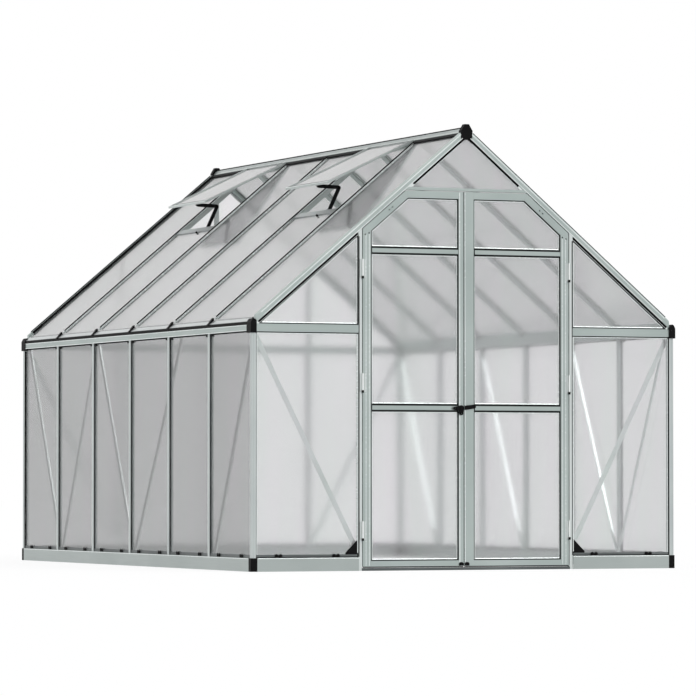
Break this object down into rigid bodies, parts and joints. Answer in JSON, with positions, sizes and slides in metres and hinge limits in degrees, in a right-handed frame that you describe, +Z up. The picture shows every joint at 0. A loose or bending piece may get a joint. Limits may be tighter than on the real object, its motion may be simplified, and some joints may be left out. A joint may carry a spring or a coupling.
{
  "type": "greenhouse",
  "caption": "Free-standing hobby greenhouse with an aluminium frame, translucent twin-wall panels, a pair of hinged doors in one gable and open roof vents.",
  "frame": {"origin": "on the ground, at the centre of the footprint", "axes": "+X along the door gable, to the right as seen from outside; +Y from the door gable to the back; +Z up"},
  "size_m": [2.502, 3.705, 2.3904],
  "materials": {
    "frame_aluminium": "mill-finish extruded aluminium, satin",
    "bright_aluminium": "brighter extruded aluminium, satin",
    "polycarbonate": "translucent twin-wall polycarbonate with fine ribs",
    "black_plastic": "moulded black plastic",
    "dark_trim": "dark glazing trim"
  },
  "bodies": {
    "frame": {"base_rails": "frame_aluminium", "base_corner_caps": "black_plastic", "door_threshold": "frame_aluminium", "corner_posts": "frame_aluminium", "side_posts_left": "frame_aluminium", "side_posts_right": "frame_aluminium", "back_posts": "frame_aluminium", "door_posts": "bright_aluminium", "eave_beams": "frame_aluminium", "eave_seals": "dark_trim", "gable_beams": "frame_aluminium", "eave_brackets": "black_plastic", "ridge_beam": "frame_aluminium", "ridge_end_caps": "black_plastic", "gable_rafters": "frame_aluminium", "roof_rafters_left": "frame_aluminium", "roof_rafters_right": "frame_aluminium", "gable_beads": "bright_aluminium", "door_header": "frame_aluminium", "side_braces_left": "frame_aluminium", "side_braces_right": "frame_aluminium", "gable_braces": "frame_aluminium", "gusset_plates": "black_plastic", "sill_channels": "dark_trim", "glazing_clips": "black_plastic", "rafter_foot_clips": "black_plastic", "side_panels_left": "polycarbonate", "side_panels_right": "polycarbonate", "back_panels": "polycarbonate", "front_panels": "polycarbonate", "roof_panels_left": "polycarbonate", "roof_panels_right": "polycarbonate", "vent_frames": "frame_aluminium", "vent_panels": "polycarbonate", "vent_crossbars": "frame_aluminium", "vent_stays": "black_plastic", "hinge_posts": "bright_aluminium"},
    "left_leaf": {"left_door_stiles": "frame_aluminium", "left_door_rails": "frame_aluminium", "left_door_panels": "polycarbonate", "left_door_hinges": "bright_aluminium", "left_door_bolt": "black_plastic", "latch_plate": "black_plastic"},
    "latch": {"latch_lever": "black_plastic"},
    "right_leaf": {"right_door_stiles": "frame_aluminium", "right_door_rails": "frame_aluminium", "right_door_panels": "polycarbonate", "right_door_hinges": "bright_aluminium", "right_door_bolt": "black_plastic", "latch_keeper": "black_plastic"}
  },
  "joints": [
    {"name": "left_door", "type": "hinge", "parent": "frame", "child": "left_leaf", "pos_m": [-0.6085, -1.8445, 0], "axis": [0, 0, -1], "range_deg": [0, 165]},
    {"name": "right_door", "type": "hinge", "parent": "frame", "child": "right_leaf", "pos_m": [0.6085, -1.8445, 0], "axis": [0, 0, 1], "range_deg": [0, 165]},
    {"name": "latch_turn", "type": "hinge", "parent": "left_leaf", "child": "latch", "pos_m": [-0.036, -1.847, 0.866], "axis": [0, 1, 0], "range_deg": [0, 90]}
  ]
}
